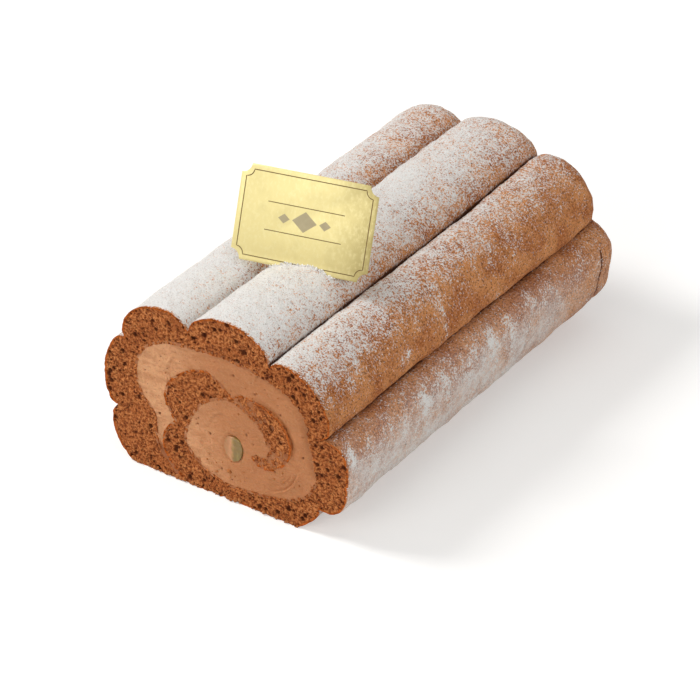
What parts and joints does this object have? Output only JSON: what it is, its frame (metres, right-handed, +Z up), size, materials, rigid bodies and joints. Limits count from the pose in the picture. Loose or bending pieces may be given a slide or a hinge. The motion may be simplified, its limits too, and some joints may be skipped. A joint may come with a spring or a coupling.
{
  "type": "swiss roll cake",
  "caption": "Chocolate swiss roll of piped sponge fingers rolled around chocolate cream, cut at one end, dusted with sugar, with a small gold label card stuck in its top.",
  "frame": {"origin": "on the table, under the middle of the roll's box", "axes": "+Y along the roll from its cut face to its uncut end, +Z up, +X to the right as the cut face is looked at"},
  "size_m": [0.1025, 0.176, 0.1006],
  "materials": {
    "sponge": "matt browned sponge, dusted with powdered sugar, with an open brown crumb where cut",
    "cream": "soft satin whipped chocolate cream",
    "chestnut": "moist candied chestnut",
    "gold_card": "thin card with satin gold foil"
  },
  "bodies": {
    "root": {"sponge": "sponge", "cream": "cream", "chestnut": "chestnut", "label_card": "gold_card"}
  },
  "joints": []
}
